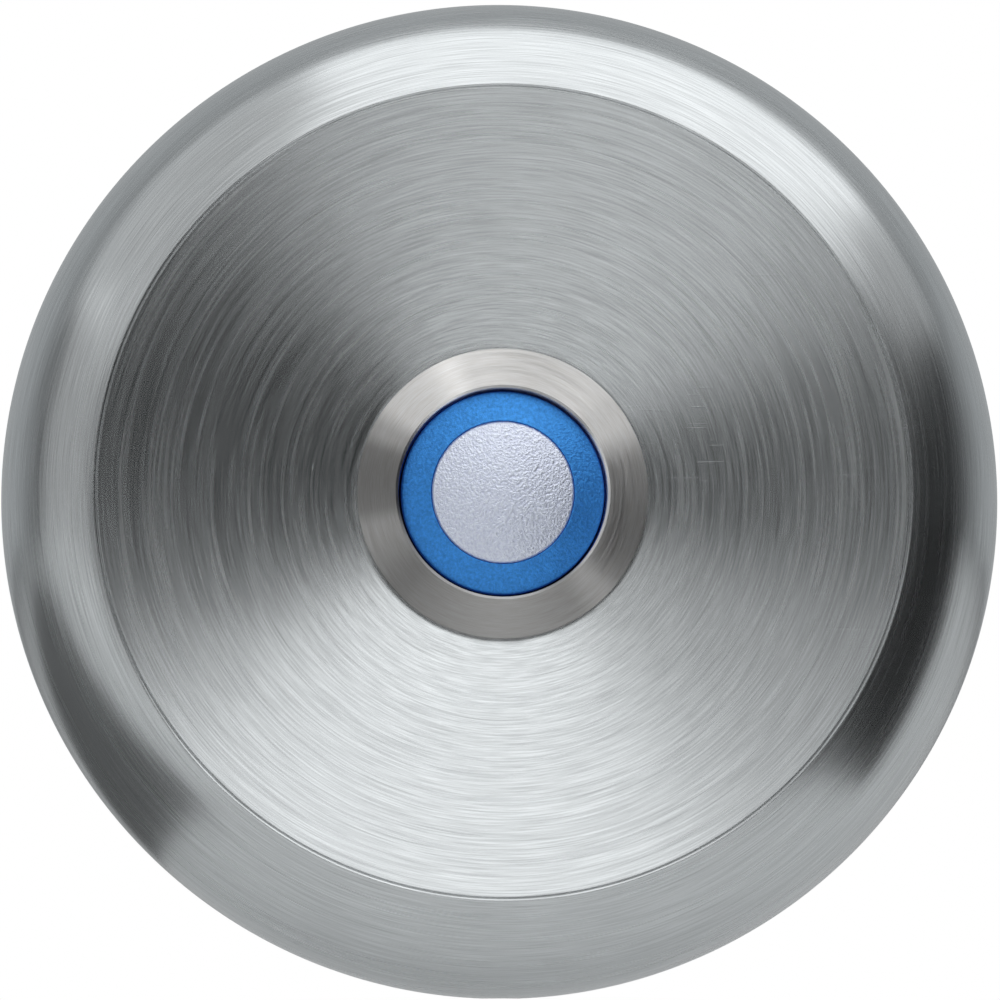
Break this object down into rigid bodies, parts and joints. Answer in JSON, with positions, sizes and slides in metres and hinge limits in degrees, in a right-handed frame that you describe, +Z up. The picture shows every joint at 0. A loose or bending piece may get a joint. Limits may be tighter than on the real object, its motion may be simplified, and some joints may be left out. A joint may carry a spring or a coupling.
{
  "type": "illuminated push button",
  "caption": "Round dished steel wall plate with a ring-lit, spring-return push button in its middle and a threaded switch body behind.",
  "frame": {"origin": "centre of the wall plane behind the plate, on the button's axis", "axes": "+Y into the wall, so the button faces -Y and is pressed towards +Y; +Z up; +X to the right as seen from the front"},
  "size_m": [0.076, 0.031, 0.076],
  "materials": {
    "brushed_steel_plate": "circular brushed",
    "turned_steel": "fine turned",
    "blasted_cap": "bead blasted, silver",
    "blue_lens": "translucent, lit blue",
    "plate_aluminium": "turned",
    "black_screw_steel": "black oxide",
    "zinc_steel": "bright zinc",
    "nickel_brass": "nickel plated",
    "spring_steel": "drawn wire",
    "tinned_copper": "tin plated",
    "bridge_bronze": "rolled strip",
    "contact_silver": "silver",
    "gasket_rubber": "matt black",
    "seal_rubber": "smooth black",
    "black_nylon": "moulded",
    "black_resin": "poured",
    "white_acetal": "moulded",
    "white_board": "solder mask",
    "lamp_body": "clear filled",
    "resistor_body": "glazed"
  },
  "bodies": {
    "root": {"escutcheon": "brushed_steel_plate", "wall_gasket": "gasket_rubber", "mounting_plate": "plate_aluminium", "lock_screw": "black_screw_steel", "switch_housing": "turned_steel", "bezel_seal": "seal_rubber", "lock_washer": "zinc_steel", "panel_nut": "nickel_brass", "guide_body": "black_nylon", "led_board": "white_board", "led_1": "lamp_body", "led_2": "lamp_body", "led_3": "lamp_body", "led_4": "lamp_body", "resistor_1": "resistor_body", "resistor_2": "resistor_body", "led_pin_plus": "tinned_copper", "led_pin_minus": "tinned_copper", "contact_base": "black_nylon", "rear_potting": "black_resin", "terminal_common": "tinned_copper", "terminal_switched": "tinned_copper", "fixed_contact_left": "contact_silver", "fixed_contact_right": "contact_silver", "return_spring": "spring_steel"},
    "button": {"light_ring": "blue_lens", "push_cap": "blasted_cap", "plunger": "white_acetal", "actuator_seal": "seal_rubber", "retaining_clip": "spring_steel", "contact_spring": "spring_steel"},
    "bridge": {"contact_bridge": "bridge_bronze", "moving_contact_left": "contact_silver", "moving_contact_right": "contact_silver"}
  },
  "joints": [
    {"name": "button_press", "type": "slide", "parent": "root", "child": "button", "axis": [0, 1, 0], "range_m": [0, 0.0018], "stiffness_N_per_m": 800, "springref_m": -0.003, "deforming": ["return_spring", "contact_spring"]},
    {"name": "bridge_slide", "type": "slide", "parent": "root", "child": "bridge", "axis": [0, 1, 0], "range_m": [0, 0.00136]}
  ],
  "couplings": [
    {"joint": "bridge_slide", "follows": "button_press", "ratio": 0.75}
  ]
}
